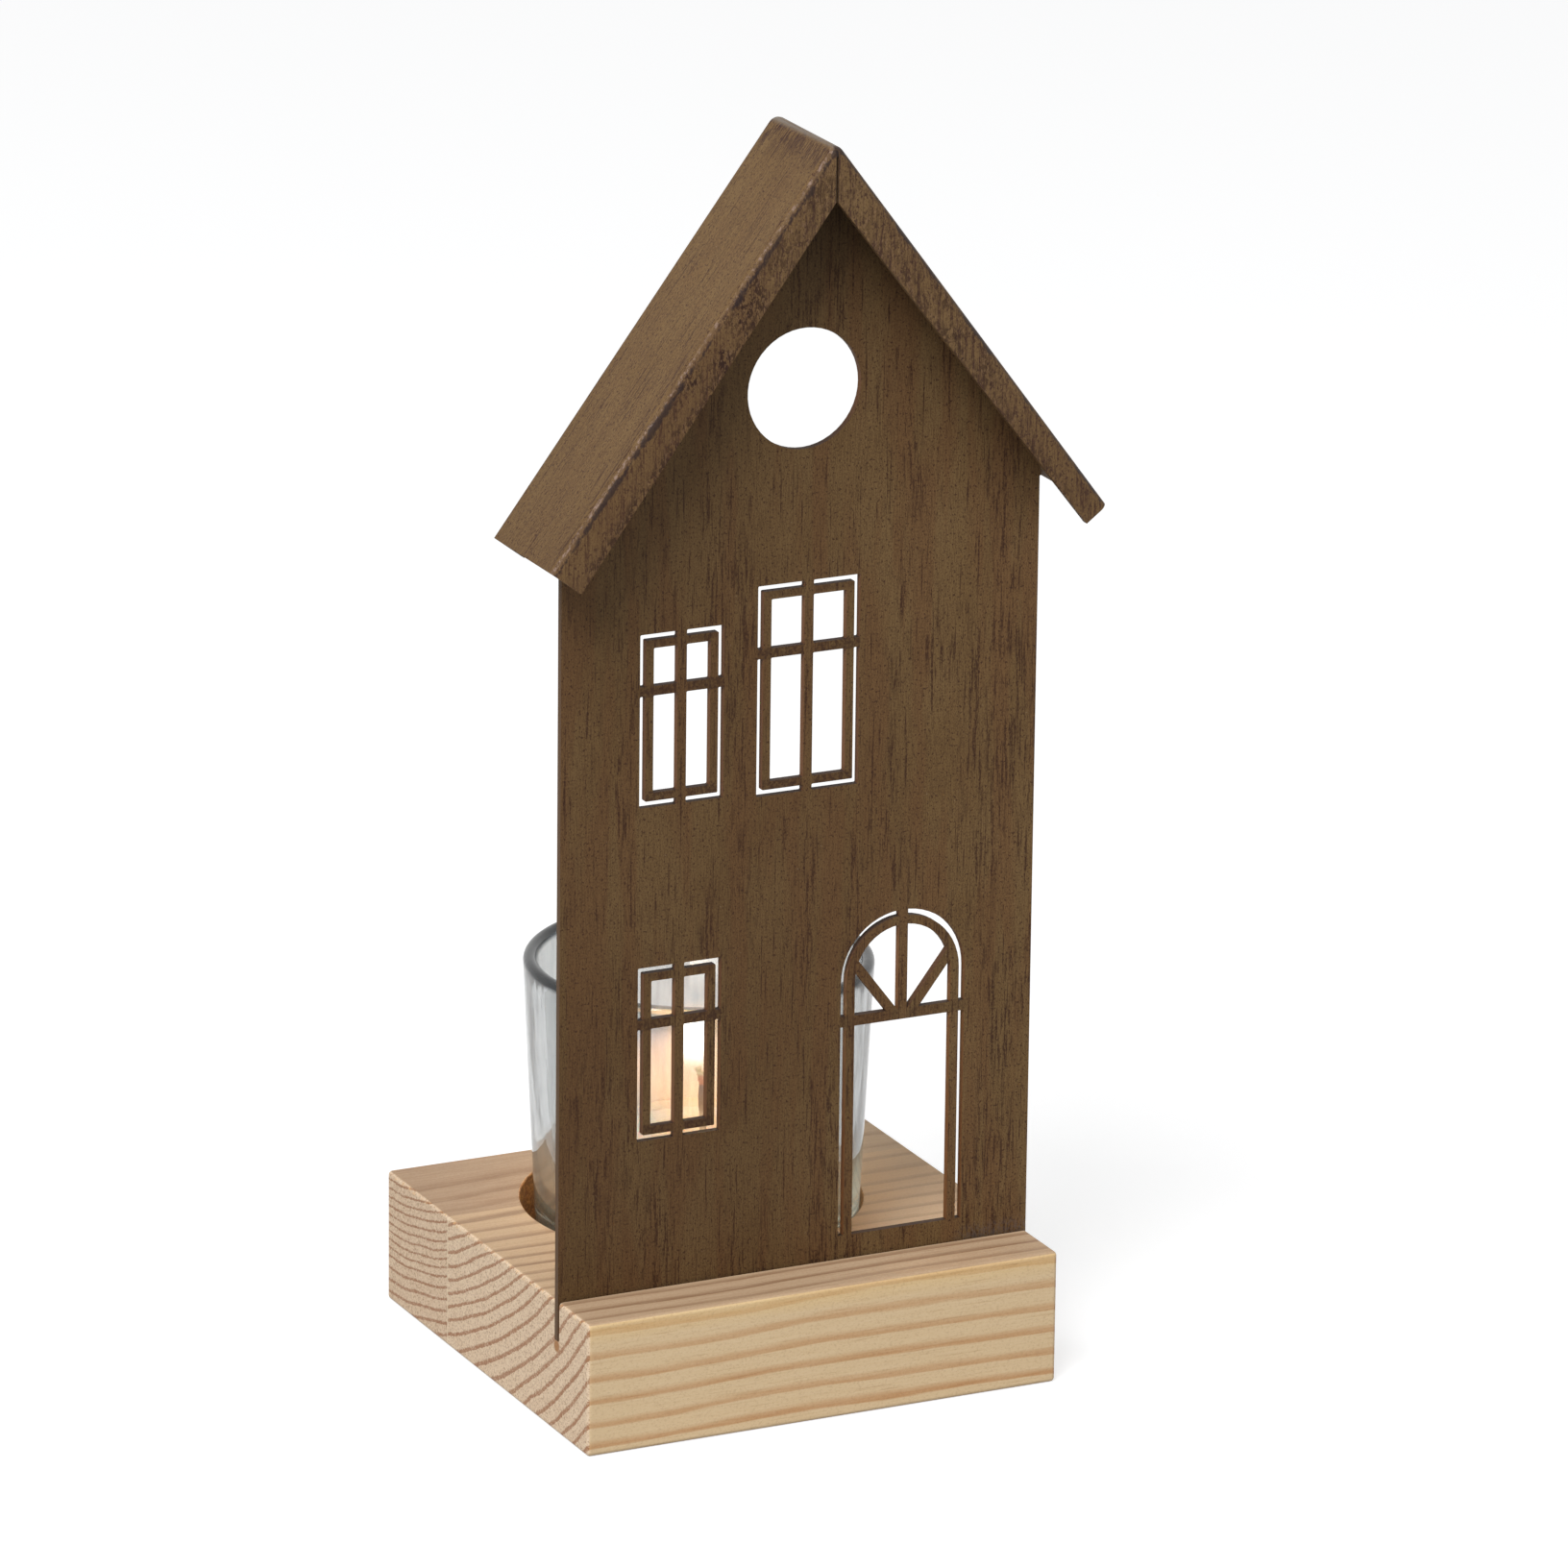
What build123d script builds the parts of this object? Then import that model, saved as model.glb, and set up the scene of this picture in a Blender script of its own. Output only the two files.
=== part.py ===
from build123d import *
import math
import os

# Tealight house: a sheet-steel house front under a folded roof stands in a pine block,
# with a glass cup and a tealight in a well behind it.
# The origin is the middle of the block's underside, the front faces -Y and Z is up.

# Glass cup
glass_foot_diameter = 65.6
glass_rim_diameter = 71.5
glass_height = 65.0
glass_wall = 2.9
glass_foot_wall = 3.9
glass_floor = 9.5
glass_foot_rounding = 3.0
glass_floor_rounding = 5.0
rim_rounding_share = 0.48
punt_diameter = 48.0
punt_depth = 1.0

# Tealight
candle_diameter = 38.0
candle_height = 17.0
foil = 0.3
foil_corner = 1.2
lip_width = 0.5
lip_height = 0.8
lip_rounding = 0.2
wax_depth = 14.7
wick_diameter = 1.4
wick_free_length = 7.8
wick_bend_radius = 32.0
wick_bend_angle = 14.0
tab_disc_diameter = 12.5
tab_disc_thickness = 0.3
tab_neck_wall = 0.4
tab_neck_height = 3.2

# Sheet steel of the house front and the roof
sheet = 1.5
fold_inner_radius = 0.3
ridge_inner_radius = 0.6

# Pine block, glued up from two boards
base_width = 104.0
base_thickness = 28.0
front_board_depth = 68.5
edge_rounding = 0.9

# Slot for the house front and well for the glass cup
plate_setback = 14.5
slot_depth = 8.4
slot_clearance = 0.05
slot_front_gap = 0.65
slot_to_well = 9.15
well_back_wall = 3.85
well_depth = 13.0
well_clearance = 1.61
well_offset = -1.35
well_chamfer = 0.3
cup_side_gap = 0.35
candle_offset = 1.2
standing_gap = 0.05

# House front, heights from the top of the block or down from the shoulder
wall_height = 161.5
roof_slope = 53.0
gable_tab_depth = 10.0
apex_relief = 3.2
cut_rounding = 0.25
slit = 1.25
frame_bar = 1.7
cross_bar = 1.95
small_window_width = 18.2
low_window_height = 36.3
low_window_light = 24.4
high_window_height = 35.6
high_window_light = 23.9
large_window_width = 22.3
large_window_height = 43.4
large_window_light = 29.4
left_window_middle = -25.9
large_window_middle = 1.6
low_window_sill = 31.2
high_window_drop = 25.2
large_window_drop = 18.3
porthole_diameter = 24.6
porthole_drop = 48.0

# Door
door_middle = 23.4
door_width = 27.5
door_sill = 4.7
door_light = 44.3
door_frame_bar = 1.85
transom = 2.15
fan_upright = 7.2
spoke_angle = 52.5
spoke_drop = 2.0

# Roof
roof_depth = 28.4
eave_overhang = 8.3
ridge_flange = 7.2
left_eave_flange = 8.0
right_eave_flange = 5.7
mitre_gap = 0.3

# Length that a cutting tool runs past what it cuts
overrun = 2.0

# Places worked out from the sizes
sine = math.sin(math.radians(roof_slope))
cosine = math.cos(math.radians(roof_slope))
sheet_rise = sheet / cosine
fold_outer_radius = fold_inner_radius + sheet
ridge_outer_radius = ridge_inner_radius + sheet
slot_width = sheet + slot_clearance + slot_front_gap
glass_flare = (glass_rim_diameter - glass_foot_diameter) / glass_height
well_diameter = glass_foot_diameter + glass_flare * well_depth + 2 * well_clearance
base_depth = plate_setback + sheet + slot_to_well + well_diameter + well_back_wall
base_front = -base_depth / 2
base_back = base_depth / 2
glue_line = base_front + front_board_depth
plate_front = base_front + plate_setback
plate_middle = plate_front + sheet / 2
slot_front = plate_front - slot_front_gap
well_y = base_back - well_back_wall - well_diameter / 2
cup_x = well_offset + well_clearance - cup_side_gap
cup_z = base_thickness - well_depth + standing_gap
candle_z = cup_z + glass_floor + standing_gap
half_wall = base_width / 2
shoulder = base_thickness + wall_height
gable_peak = shoulder + half_wall * sine / cosine + sheet_rise
roof_peak = gable_peak + sheet_rise
roof_reach = half_wall + eave_overhang
roof_front = plate_middle - roof_depth / 2
bottom_up = (Align.CENTER, Align.CENTER, Align.MIN)
right_slope = Axis((0, 0, 0), (cosine, 0, -sine))
left_slope = Axis((0, 0, 0), (cosine, 0, sine))


def upright(y):
    """Drawing plane that stands across the house at depth y: X to the right, Z up."""
    return Plane.XZ.offset(-y)


def prism(outline, front, depth):
    """Solid from an upright outline, from its front face backwards."""
    return extrude(upright(front) * outline, -depth)


def chevron(peak, reach, ridge_depth, left_depth, right_depth):
    """Band under both slopes, its ends square to them; reach is the outer half-span."""
    eave = peak - reach * sine / cosine
    points = [
        (0, peak), (reach, eave), (reach - right_depth * sine, eave - right_depth * cosine),
        (0, peak - ridge_depth / cosine), (left_depth * sine - reach, eave - left_depth * cosine), (-reach, eave),
    ]
    return make_face(Polyline(*points, close=True))


def ridge_rounded(band, radius):
    """Band with its topmost edge, which runs front to back, rounded."""
    return fillet(band.edges().filter_by(Axis.Y).sort_by(Axis.Z)[-1], radius)


def folds_rounded(band, radius):
    """Band with its long upper edges rounded at the front and the back, over the ridge too."""
    for end in (0, -1):
        edges = band.edges().filter_by(right_slope).group_by(Axis.Y)[end]
        band = fillet(edges.sort_by(Axis.Z)[-1], radius)
    return band


def block():
    """Glued block with its slot and well, before it is parted at the glue line."""
    body = Box(base_width, base_depth, base_thickness, align=bottom_up)
    body = fillet(body.edges(), edge_rounding)
    slot = Box(base_width + overrun, slot_width, slot_depth + overrun, align=(Align.CENTER, Align.MIN, Align.MIN))
    body -= Pos(0, slot_front, base_thickness - slot_depth) * slot
    well = Cylinder(well_diameter / 2, well_depth + overrun, align=bottom_up)
    rim = Cone(well_diameter / 2, well_diameter / 2 + well_chamfer, well_chamfer, align=bottom_up)
    body -= Pos(well_offset, well_y, base_thickness - well_depth) * well
    body -= Pos(well_offset, well_y, base_thickness - well_chamfer) * rim
    return body


def base_front_board():
    keep = Box(base_width, front_board_depth, base_thickness, align=(Align.CENTER, Align.MIN, Align.MIN))
    return block() & Pos(0, base_front, 0) * keep


def base_back_board():
    depth = base_back - glue_line
    keep = Box(base_width, depth, base_thickness, align=(Align.CENTER, Align.MIN, Align.MIN))
    return block() & Pos(0, glue_line, 0) * keep


def rounded(outline):
    """Cut-outs with the small corner radius that the cutting beam leaves."""
    return fillet(outline.vertices(), cut_rounding)


def window(middle, sill, width, height, light_height):
    """Four panes and the broken slit round them; the bars run through to the wall."""
    rim = slit + frame_bar
    opening = Rectangle(width, height) - Rectangle(width - 2 * slit, height - 2 * slit)
    opening += Rectangle(width - 2 * rim, height - 2 * rim)
    opening -= Rectangle(cross_bar, height)
    opening -= Pos(0, light_height - height / 2) * Rectangle(width, cross_bar)
    return Pos(middle, sill + height / 2) * rounded(opening)


def arch(width, straight):
    """Upright rectangle under a half circle; the middle of its foot is the origin."""
    half = width / 2
    sides = Polyline((half, straight), (half, 0), (-half, 0), (-half, straight))
    head = CenterArc((0, straight), half, 0, 180)
    return make_face(sides + head)


def door():
    """Tall pane, fanlight with a mullion and two spokes, and the slit round them."""
    rim = slit + door_frame_bar
    fan_foot = door_light + transom
    straight = fan_foot + fan_upright
    surround = arch(door_width, straight) - arch(door_width - 2 * slit, straight)
    surround -= Pos(0, door_light + transom / 2) * Rectangle(door_width, transom)
    mullion = Pos(0, straight) * Rectangle(cross_bar, door_width)
    surround -= mullion
    pane_width = door_width - 2 * rim
    pane = Pos(0, door_light / 2) * Rectangle(pane_width, door_light)
    fan = Pos(0, fan_foot) * arch(pane_width, fan_upright)
    fan -= mullion
    spoke_foot = door_light + transom / 2 - spoke_drop
    for side in (-1, 1):
        lean = side * (spoke_angle - 90)
        spoke = Rectangle(cross_bar, door_width, align=(Align.CENTER, Align.MIN))
        fan -= Pos(0, spoke_foot) * Rot(0, 0, lean) * spoke
    return Pos(door_middle, base_thickness + door_sill) * (surround + pane + fan)


def openings():
    high_sill = shoulder - high_window_drop - high_window_height
    large_sill = shoulder - large_window_drop - large_window_height
    low_sill = base_thickness + low_window_sill
    cuts = [door()]
    cuts.append(window(left_window_middle, low_sill, small_window_width, low_window_height, low_window_light))
    cuts.append(window(left_window_middle, high_sill, small_window_width, high_window_height, high_window_light))
    cuts.append(window(large_window_middle, large_sill, large_window_width, large_window_height, large_window_light))
    porthole_height = gable_peak - sheet_rise - porthole_drop
    cuts.append(Pos(0, porthole_height) * Circle(porthole_diameter / 2))
    return cuts


def house_front():
    """Plate with its openings, and the gable tabs folded back from its sloping edges."""
    foot = base_thickness - slot_depth
    tab_reach = half_wall + sheet * sine
    tab_eave = gable_peak - tab_reach * sine / cosine
    points = [
        (-half_wall, foot), (half_wall, foot), (half_wall, shoulder), (tab_reach, tab_eave),
        (0, gable_peak), (-tab_reach, tab_eave), (-half_wall, shoulder),
    ]
    plate = prism(make_face(Polyline(*points, close=True)), plate_front, sheet)
    plate += prism(chevron(gable_peak, tab_reach, sheet, sheet, sheet), plate_front, gable_tab_depth)
    flat = Box(base_width, 2 * gable_tab_depth + overrun, half_wall, align=bottom_up)
    plate -= Pos(0, plate_front, gable_peak - apex_relief) * flat
    plate = fillet(slope_edges(plate).group_by(Axis.Y)[0], fold_outer_radius)
    plate = fillet(slope_edges(plate).group_by(Axis.Y)[1], fold_inner_radius)
    for cut in openings():
        plate -= prism(cut, plate_front, sheet)
    return plate


def slope_edges(shape):
    return shape.edges().filter_by(right_slope) + shape.edges().filter_by(left_slope)


def roof():
    """One sheet over both slopes with a flange folded down at the front and the back."""
    band = chevron(roof_peak, roof_reach, ridge_flange, left_eave_flange, right_eave_flange)
    shell = prism(band, roof_front, roof_depth)
    shell = folds_rounded(ridge_rounded(shell, ridge_outer_radius), fold_outer_radius)
    inside_depth = roof_depth - 2 * sheet
    deepest = max(ridge_flange, left_eave_flange, right_eave_flange)
    room = chevron(gable_peak, roof_reach + overrun, deepest, deepest, deepest)
    inside = prism(room, roof_front + sheet, inside_depth)
    inside = folds_rounded(ridge_rounded(inside, ridge_inner_radius), fold_inner_radius)
    shell -= inside
    ridge_top = roof_peak - ridge_outer_radius * (1 / cosine - 1)
    seam = Box(mitre_gap, sheet, ridge_flange / cosine, align=(Align.CENTER, Align.MIN, Align.MAX))
    for y in (roof_front, roof_front + roof_depth - sheet):
        shell -= Pos(0, y, ridge_top - fold_outer_radius) * seam
    return shell


def glass_cup():
    """Thick tapered cup, rounded at the rim, with a shallow hollow under its foot."""
    foot = glass_foot_diameter / 2
    rim = glass_rim_diameter / 2
    cup = Cone(foot, rim, glass_height, align=bottom_up)
    cup = fillet(cup.edges().sort_by(Axis.Z)[0], glass_foot_rounding)
    hollow = Cone(foot - glass_foot_wall, rim - glass_wall, glass_height - glass_floor, align=bottom_up)
    hollow = fillet(hollow.edges().sort_by(Axis.Z)[0], glass_floor_rounding)
    cup -= Pos(0, 0, glass_floor) * hollow
    cup = fillet(cup.edges().group_by(Axis.Z)[-1], rim_rounding_share * glass_wall)
    punt = Cone(punt_diameter / 2, punt_diameter / 2 - punt_depth, punt_depth, align=bottom_up)
    return Pos(cup_x, well_y, cup_z) * (cup - punt)


def candle_inside(height):
    """Room inside the foil cup, up to a height over its floor."""
    room = Cylinder(candle_diameter / 2 - foil, height, align=bottom_up)
    return Pos(0, 0, foil) * fillet(room.edges().sort_by(Axis.Z)[0], foil_corner - foil)


def candle_place():
    return Pos(cup_x + candle_offset, well_y, candle_z)


def tealight_cup():
    cup = Cylinder(candle_diameter / 2, candle_height, align=bottom_up)
    cup = fillet(cup.edges().sort_by(Axis.Z)[0], foil_corner)
    lip = Cylinder(candle_diameter / 2 + lip_width, lip_height, align=bottom_up)
    cup += Pos(0, 0, candle_height - lip_height) * fillet(lip.edges(), lip_rounding)
    cup -= candle_inside(candle_height)
    return candle_place() * cup


def wick_shape():
    """Wick from the floor of the foil cup, straight through the wax and then bent to the left."""
    bend_start = foil + wax_depth + wick_free_length
    stem = Line((0, 0, foil), (0, 0, bend_start))
    sweep_plane = Plane(origin=(-wick_bend_radius, 0, bend_start), x_dir=(1, 0, 0), z_dir=(0, -1, 0))
    bend = sweep_plane * CenterArc((0, 0), wick_bend_radius, 0, wick_bend_angle)
    section = Plane(origin=(0, 0, foil), z_dir=(0, 0, 1)) * Circle(wick_diameter / 2)
    return sweep(section, path=Wire([stem, bend.edge()]))


def wick_tab_shape():
    disc = Cylinder(tab_disc_diameter / 2, tab_disc_thickness, align=bottom_up)
    neck = Cylinder(wick_diameter / 2 + tab_neck_wall, tab_neck_height, align=bottom_up)
    bore = Cylinder(wick_diameter / 2, tab_neck_height, align=bottom_up)
    return Pos(0, 0, foil) * (disc + neck - bore)


def tealight_wax():
    wax = candle_inside(wax_depth)
    wax -= wick_tab_shape()
    wax -= Pos(0, 0, foil) * Cylinder(wick_diameter / 2, wax_depth, align=bottom_up)
    return candle_place() * wax


def wick():
    return candle_place() * wick_shape()


def wick_tab():
    return candle_place() * wick_tab_shape()


pieces = [
    base_front_board, base_back_board, house_front, roof,
    glass_cup, tealight_cup, tealight_wax, wick, wick_tab,
]

os.makedirs("parts", exist_ok=True)
for piece in pieces:
    solid = piece()
    name = piece.__name__
    print(name, "solids", len(solid.solids()), "valid", solid.is_valid, "volume", round(solid.volume, 1))
    export_step(solid, f"parts/{name}.step")
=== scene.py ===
import math

import bpy
from mathutils import Matrix, Vector


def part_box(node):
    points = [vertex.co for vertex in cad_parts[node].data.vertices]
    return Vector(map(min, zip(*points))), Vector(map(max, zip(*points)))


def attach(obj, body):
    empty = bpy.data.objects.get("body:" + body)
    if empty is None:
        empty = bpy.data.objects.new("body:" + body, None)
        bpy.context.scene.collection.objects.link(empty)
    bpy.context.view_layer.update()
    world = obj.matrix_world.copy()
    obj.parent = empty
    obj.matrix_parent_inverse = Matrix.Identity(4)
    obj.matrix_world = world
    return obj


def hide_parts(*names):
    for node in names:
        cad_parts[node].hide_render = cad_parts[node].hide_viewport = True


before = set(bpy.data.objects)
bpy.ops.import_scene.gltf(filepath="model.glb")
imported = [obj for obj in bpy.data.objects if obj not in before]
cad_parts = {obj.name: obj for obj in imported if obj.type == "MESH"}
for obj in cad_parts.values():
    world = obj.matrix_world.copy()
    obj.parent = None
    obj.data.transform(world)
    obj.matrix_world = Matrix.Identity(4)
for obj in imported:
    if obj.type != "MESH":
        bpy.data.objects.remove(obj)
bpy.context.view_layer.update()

# Units: the named sizes below are in millimetres, Blender works in metres
MM = 0.001

# Camera, solved from the photograph
EYE = (-893.67, -1875.20, 785.30)
AIM = (12.148, -2.70, 118.27)
ROLL = math.radians(0.668)
LENS = 249.5
SENSOR = 36.0


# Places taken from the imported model


def span(node):
    """The lowest and highest corners of a node, in millimetres."""
    low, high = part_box(node)
    return low / MM, high / MM


_, FRONT_HIGH = span("base_front_board")
PLATE_LOW, PLATE_HIGH = span("house_front")
ROOF_LOW, ROOF_HIGH = span("roof")
GLASS_LOW, GLASS_HIGH = span("glass_cup")
TIN_LOW, TIN_HIGH = span("tealight_cup")
_, WAX_HIGH = span("tealight_wax")
WICK_LOW, WICK_HIGH = span("wick")

GLUE_LINE = FRONT_HIGH.y
GLASS_MIDDLE = (GLASS_LOW + GLASS_HIGH) / 2
CANDLE_MIDDLE = (TIN_LOW + TIN_HIGH) / 2
TIP_OFF_MIDDLE = -0.4
WICK_TIP = Vector(((WICK_LOW.x + WICK_HIGH.x) / 2 + TIP_OFF_MIDDLE, CANDLE_MIDDLE.y, WICK_HIGH.z))

# Roof: its slope, the height where its outer slopes meet before rounding, and how far its
# flanges reach in from the slopes
ROOF_SLOPE = math.radians(53.0)
ROOF_PEAK = 263.5
LEFT_FLANGE = 7.6
RIGHT_FLANGE = 6.0

# Growth rings: the pith runs along X, above and behind the block. The rings are closer together
# inside the radius Change At, where one of the dark lines lies. FIRST_RING is added to the ring
# count, so that it stays above zero and a dark line falls on that radius. The rings wander slowly
# along the board, wave in shorter stretches and have ragged edges, by these distances in all
FIRST_RING = 40.88
PITH_Y = 54.0
PITH_Z = 121.0
RING_WANDER = 3.0
RING_WAVE = 1.1
RING_TOOTH = 0.7
FRONT_RINGS = {"Change At": 123.6, "Inner Ring": 2.83, "Outer Ring": 3.37}
BACK_RINGS = {"Change At": 111.6, "Inner Ring": 1.9, "Outer Ring": 2.55}
# The back board shows another stretch of the same wood
BACK_BOARD_SHIFT = 260.0

# Windows in the house front: middle, sill, width, height, and the cross bar above the sill
SLIT = 1.25
FRAME_BAR = 1.7
CROSS_BAR = 1.95
UPRIGHT_HALF = (1.0, 1.5)
WINDOWS = (
    (-25.9, 59.2, 18.2, 36.3, 24.4),
    (-25.9, 128.7, 18.2, 35.6, 23.9),
    (1.6, 127.8, 22.3, 43.4, 29.4),
)
DOOR_MIDDLE = 23.4
DOOR_WIDTH = 27.5
DOOR_BAR = 78.1

# Well for the glass
WELL_RADIUS = 35.0
WELL_MIDDLE = (-1.35, 10.65)

# Glass cup. Its mesh has GLASS_TURNS steps round it and steps of GLASS_RUN along its outline
GLASS_WALL = 2.9
GLASS_FOOT_WALL = 3.9
GLASS_FLOOR = 9.5
GLASS_FOOT_ROUND = 3.0
GLASS_FLOOR_ROUND = 5.0
GLASS_FOOT_RADIUS = 32.8
PUNT_RADIUS = 24.0
PUNT_DEPTH = 1.0
PUNT_CHAMFER = 1.5
GLASS_TURNS = 192
GLASS_RUN = 3.0

# Finish of the house front, with its painted shade: where each change starts and where it is full
SHADE_ACROSS = (50.0, -15.0)
LOW_SHADE_ACROSS = (20.0, -20.0)
LOW_SHADE_DOWN = (115.0, 60.0)
APEX_SHADE_DEPTH = (34.0, 0.0)
BARE_ACROSS = (34.0, 41.0)
BARE_ABOVE_WOOD = (4.0, 0.5)
OUTER_EDGE = (3.0, 1.0)

# Finish of the roof, along its slopes from the ridge; the sheen is a painted highlight and the eaves shade
# is painted shade
MARKS_BELOW_RIDGE = (1.4, 2.6)
MARKS_END = (10.0, 3.0)
SHEEN_END = (1.0, -1.4)
SHEEN_WIDER_BEHIND = 2.2
EAVES_SHADE = (50.0, 95.0)
FLANGE_STAIN = (14.0, 36.0)
CLUSTERS_END = (64.0, 52.0)
INNER_EDGE_END = (90.0, 84.0)

# Finish of the roof, backwards from its front edge, and forwards from its back edge
FOLD_STROKES = (6.0, 1.0)
FOLD_LINE = (2.4, 1.7)
BACK_EDGE = (0.9, 0.2)

# Finish of the roof, inwards from its slopes, and outwards from the inner edge of its front flange; the
# fold line there is worn paint with painted shade, and the scuffs carry a painted highlight
OUTSIDE_DEPTH = (1.0, 0.5)
FOLD_LINE_LEFT = 1.2
FOLD_LINE_RIGHT = 0.5
FOLD_LINE_HALF = 0.16
SCUFF_HIGHLIGHT_INWARD = 0.42
INNER_EDGE_DEPTH = (3.2, 0.2)

# The right slope reads the noise of its strokes this far to one side, the left one as far to the
# other, so that the two don't match
SLOPES_APART = 90.0

# Finish of the block: a lighter tone to the right behind the wall, which is painted light where the wall
# shades the top, the yellowish and chipped top edge, and a brown dent in the left end just below the slot,
# at this y and z
LIGHTER_TO_RIGHT = (-45.0, 25.0)
BEHIND_WALL = (0.0, 5.0)
YELLOWISH_DEPTH = (5.0, 1.5)
CHIP_DEPTH = (1.5, 0.5)
DENT = (-34.5, 18.5)
DENT_RADIUS = (1.7, 0.9)

# Finish of the glass, with its painted shade, highlights and glow: heights above its foot and depths
# below its rim, and the side that the flame lights, which lies behind the low window
WARM_HEIGHT = (32.0, 14.0)
FOOT_HEIGHT = (GLASS_FLOOR + 2.0, 2.0)
RIGHT_FOOT_LIGHT_HEIGHT = (26.0, 12.0)
DARK_RIM_DEPTH = (GLASS_WALL * 0.85, GLASS_WALL * 0.4)
RIM_HIGHLIGHT_DEPTH = 1.3
GLOW_DEPTH = (3.5, 7.0)
LIT_DEPTH = (0.0, -14.0)
LIT_LEFT = (-30.0, -20.0)
LIT_RIGHT = (14.0, 2.0)
RIGHT_FOOT_LIGHT_ACROSS = (18.0, 26.0)

# Finish of the wick: depths below its tip
CHARRED_DEPTH = (10.0, 7.0)
EMBER_DEPTH = (3.6, 2.6)
IN_FLAME_DEPTH = (1.6, 0.4)

# Flame over the wick's tip. Each shell: width, height, foot above the tip, and a number that puts
# its widest place higher the larger it is
FLAME_SHELL = (7.4, 15.5, -1.5, 0.85)
GLOW_SHELL = (15.0, 23.0, -5.5, 0.85)
HALO_SHELL = (40.0, 33.0, -15.5, 0.95)
FLAME_LEAN = -1.1
FLAME_STEPS = 24
FLAME_TURNS = 48
FLAME_BLUNTNESS = 0.8
FLAME_TAPER = 0.2


def srgb(red, green, blue, alpha=1.0):
    """A display colour from 0 to 255 as the linear colour that Blender reads."""
    def linear(value):
        value /= 255
        return value / 12.92 if value <= 0.04045 else ((value + 0.055) / 1.055) ** 2.4
    return (linear(red), linear(green), linear(blue), alpha)


# Node helpers


def feed(tree, socket, value):
    """Links a socket to another, or sets its plain value."""
    if isinstance(value, bpy.types.NodeSocket):
        tree.links.new(value, socket)
    else:
        socket.default_value = value


def put(tree, kind, inputs=None, out=0, **settings):
    """Adds a shader node, sets it, feeds it by input name or number and returns one output."""
    made = tree.nodes.new("ShaderNode" + kind)
    for key, value in settings.items():
        setattr(made, key, value)
    for key, value in (inputs or {}).items():
        feed(tree, made.inputs[key], value)
    return made.outputs[out]


def calc(tree, operation, first, second=0.0, clamp=False):
    """One step of arithmetic on two values."""
    return put(tree, "Math", {0: first, 1: second}, operation=operation, use_clamp=clamp)


def fade(tree, value, start, end):
    """0 below start and 1 above end, with a soft change between; start may lie above end."""
    return put(tree, "MapRange", {"Value": value, "From Min": start, "From Max": end},
               interpolation_type="SMOOTHSTEP")


def fade_above(tree, value, level, start, end):
    """A fade between two distances above a level, along any axis."""
    return fade(tree, value, level + start, level + end)


def fade_below(tree, value, level, start, end):
    """A fade between two distances below a level, along any axis."""
    return fade(tree, value, level - start, level - end)


def vector_calc(tree, operation, first, second):
    """One step of arithmetic on two vectors."""
    return put(tree, "VectorMath", {0: first, 1: second}, operation=operation)


def mix(tree, share, first, second, kind="MIX"):
    """A colour between two others."""
    return put(tree, "Mix", {0: share, 6: first, 7: second}, out=2, data_type="RGBA", blend_type=kind)


def grain(tree, place, cells, detail=2.0, roughness=0.5, out=0):
    """Noise from 0 to 1 with the given number of cells per millimetre along each axis."""
    return put(tree, "TexNoise", {"Vector": vector_calc(tree, "MULTIPLY", place, cells), "Scale": 1.0,
                                  "Detail": detail, "Roughness": roughness}, out=out)


def times(tree, first, *others):
    """The product of masks."""
    for other in others:
        first = calc(tree, "MULTIPLY", first, other)
    return first


def most(tree, first, *others):
    """The highest of several masks."""
    for other in others:
        first = calc(tree, "MAXIMUM", first, other)
    return first


def band(tree, value, middle, half, soft=0.25):
    """1 within half of the middle, falling to 0 over the soft distance."""
    away = calc(tree, "ABSOLUTE", calc(tree, "SUBTRACT", value, middle))
    return fade(tree, away, half + soft, half)


def ranged(tree, value, low, high, start=0.0, end=1.0):
    """A straight change from low to high while the value goes from start to end."""
    return put(tree, "MapRange", {"Value": value, "From Min": start, "From Max": end,
                                  "To Min": low, "To Max": high})


def place_in_mm(tree):
    """The point on the piece in millimetres, as it lies at rest."""
    here = put(tree, "TexCoord", out=3)
    return vector_calc(tree, "MULTIPLY", here, (1 / MM, 1 / MM, 1 / MM))


def split(tree, vector):
    """The three numbers of a vector."""
    parts = put(tree, "SeparateXYZ", {0: vector}).node
    return parts.outputs[0], parts.outputs[1], parts.outputs[2]


def join(tree, x, y, z):
    """A vector from three numbers."""
    return put(tree, "CombineXYZ", {0: x, 1: y, 2: z})


def distance(tree, first, second):
    """How far two points are apart."""
    return put(tree, "VectorMath", {0: first, 1: second}, out=1, operation="DISTANCE")


def facing_part(tree, axis):
    """How squarely the face looks along an axis, 0 to 1, at rest in the piece's own frame."""
    normal = put(tree, "VectorTransform", {0: put(tree, "NewGeometry", out=1)},
                 vector_type="NORMAL", convert_from="WORLD", convert_to="OBJECT")
    return calc(tree, "ABSOLUTE", split(tree, normal)[axis])


def new_group(name, inputs, outputs):
    """An empty shader node group with named inputs and outputs; returns it with both ends."""
    group = bpy.data.node_groups.new(name, "ShaderNodeTree")
    for label, kind in inputs.items():
        group.interface.new_socket(label, in_out="INPUT", socket_type="NodeSocket" + kind)
    for label, kind in outputs.items():
        group.interface.new_socket(label, in_out="OUTPUT", socket_type="NodeSocket" + kind)
    start = group.nodes.new("NodeGroupInput")
    end = group.nodes.new("NodeGroupOutput")
    return group, start.outputs, end.inputs


def use_group(tree, group, inputs):
    """Places a group in a material and returns its outputs."""
    made = tree.nodes.new("ShaderNodeGroup")
    made.node_tree = group
    for key, value in inputs.items():
        feed(tree, made.inputs[key], value)
    return made.outputs


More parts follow.
